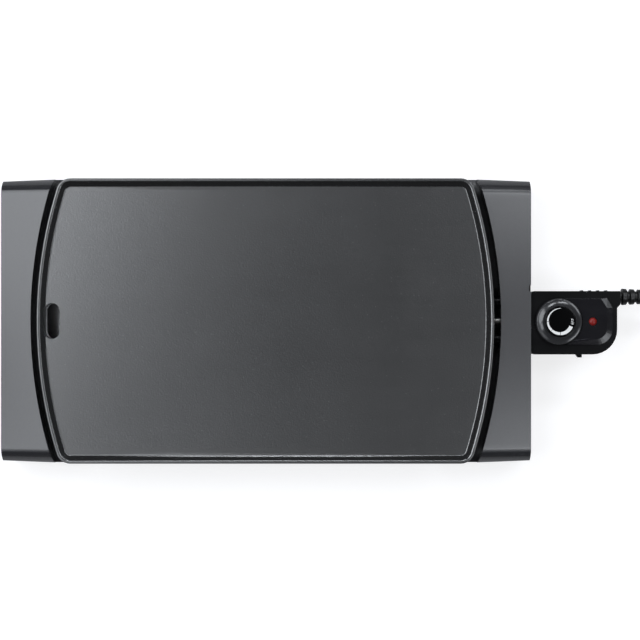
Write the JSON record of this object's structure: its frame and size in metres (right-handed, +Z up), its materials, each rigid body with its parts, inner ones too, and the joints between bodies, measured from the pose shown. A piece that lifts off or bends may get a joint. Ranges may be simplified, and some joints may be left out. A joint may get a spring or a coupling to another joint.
{
  "type": "electric griddle",
  "caption": "Flat electric table griddle: cast non-stick plate on two moulded grey handles, slide-out drip tray, and plug-in temperature controller with dial, probe and mains lead.",
  "frame": {"origin": "on the table under the middle of the appliance with its controller plugged in, without the lead", "axes": "+X along the griddle towards the controller, +Y to the back, +Z up"},
  "size_m": [0.8131, 0.2882, 0.07],
  "materials": {
    "nonstick_plate": "dark non-stick coating over cast metal, satin, fine speckle",
    "element_steel": "dull heat-darkened tube",
    "pin_steel": "bright nickel-plated steel",
    "zinc_steel": "zinc-plated sheet and screws",
    "ceramic": "unglazed ceramic",
    "spring_brass": "rolled brass strip",
    "handle_grey": "grey moulded plastic, satin, fine grain",
    "foot_rubber": "matt black rubber",
    "tray_steel": "pressed aluminium",
    "case_black": "black moulded plastic, fine grain",
    "fascia_grey": "charcoal moulded fascia",
    "knob_black": "glossy black moulding",
    "print_white": "white printed ink",
    "print_grey": "grey printed ink",
    "lens_red": "red translucent lens",
    "lamp_glass": "clear lamp glass",
    "wire_sleeve": "coloured wire insulation",
    "cord_rubber": "black flexible sheath"
  },
  "bodies": {
    "griddle": {"griddle_plate": "nonstick_plate", "heating_element": "element_steel", "terminal_pins": "pin_steel", "ceramic_bushes": "ceramic", "terminal_bracket": "zinc_steel", "bracket_screws": "zinc_steel", "earth_contact": "spring_brass", "left_handle": "handle_grey", "right_handle": "handle_grey", "spacer_sleeves": "zinc_steel", "handle_washers": "zinc_steel", "handle_screws": "zinc_steel", "rubber_feet": "foot_rubber", "tray_rails": "zinc_steel", "rail_screws": "zinc_steel"},
    "tray": {"drip_tray": "tray_steel"},
    "controller": {"controller_base": "case_black", "controller_cover": "case_black", "control_fascia": "fascia_grey", "socket_block": "case_black", "socket_contacts": "spring_brass", "probe_tube": "pin_steel", "probe_rod": "element_steel", "earth_ring": "spring_brass", "switch_frame": "zinc_steel", "shaft_bush": "spring_brass", "actuating_leaf": "spring_brass", "contact_leaf": "spring_brass", "contact_points": "pin_steel", "insulating_blocks": "ceramic", "switch_rivet": "pin_steel", "pilot_lens": "lens_red", "neon_lamp": "lamp_glass", "lamp_holder": "ceramic", "inner_wires": "wire_sleeve", "cord_clamp": "case_black", "clamp_screws": "zinc_steel", "housing_screws": "zinc_steel", "strain_relief": "cord_rubber", "power_cord": "cord_rubber", "cord_coil": "cord_rubber", "cord_tie": "case_black", "plug_body": "cord_rubber", "plug_pins": "pin_steel", "plug_earth_clips": "pin_steel"},
    "dial": {"dial_knob": "knob_black", "dial_cap": "knob_black", "dial_scale": "print_white", "dial_off_mark": "print_grey", "dial_shaft": "pin_steel"}
  },
  "joints": [
    {"name": "tray_slide", "type": "slide", "parent": "griddle", "child": "tray", "axis": [-1, 0, 0], "range_m": [0, 0.13]},
    {"name": "controller_plug", "type": "slide", "parent": "griddle", "child": "controller", "axis": [1, 0, 0], "range_m": [0, 0.1]},
    {"name": "dial_turn", "type": "hinge", "parent": "controller", "child": "dial", "pos_m": [0.2508, -0.0006, 0.056], "axis": [0, 0, 1], "range_deg": [-330, 0]}
  ]
}
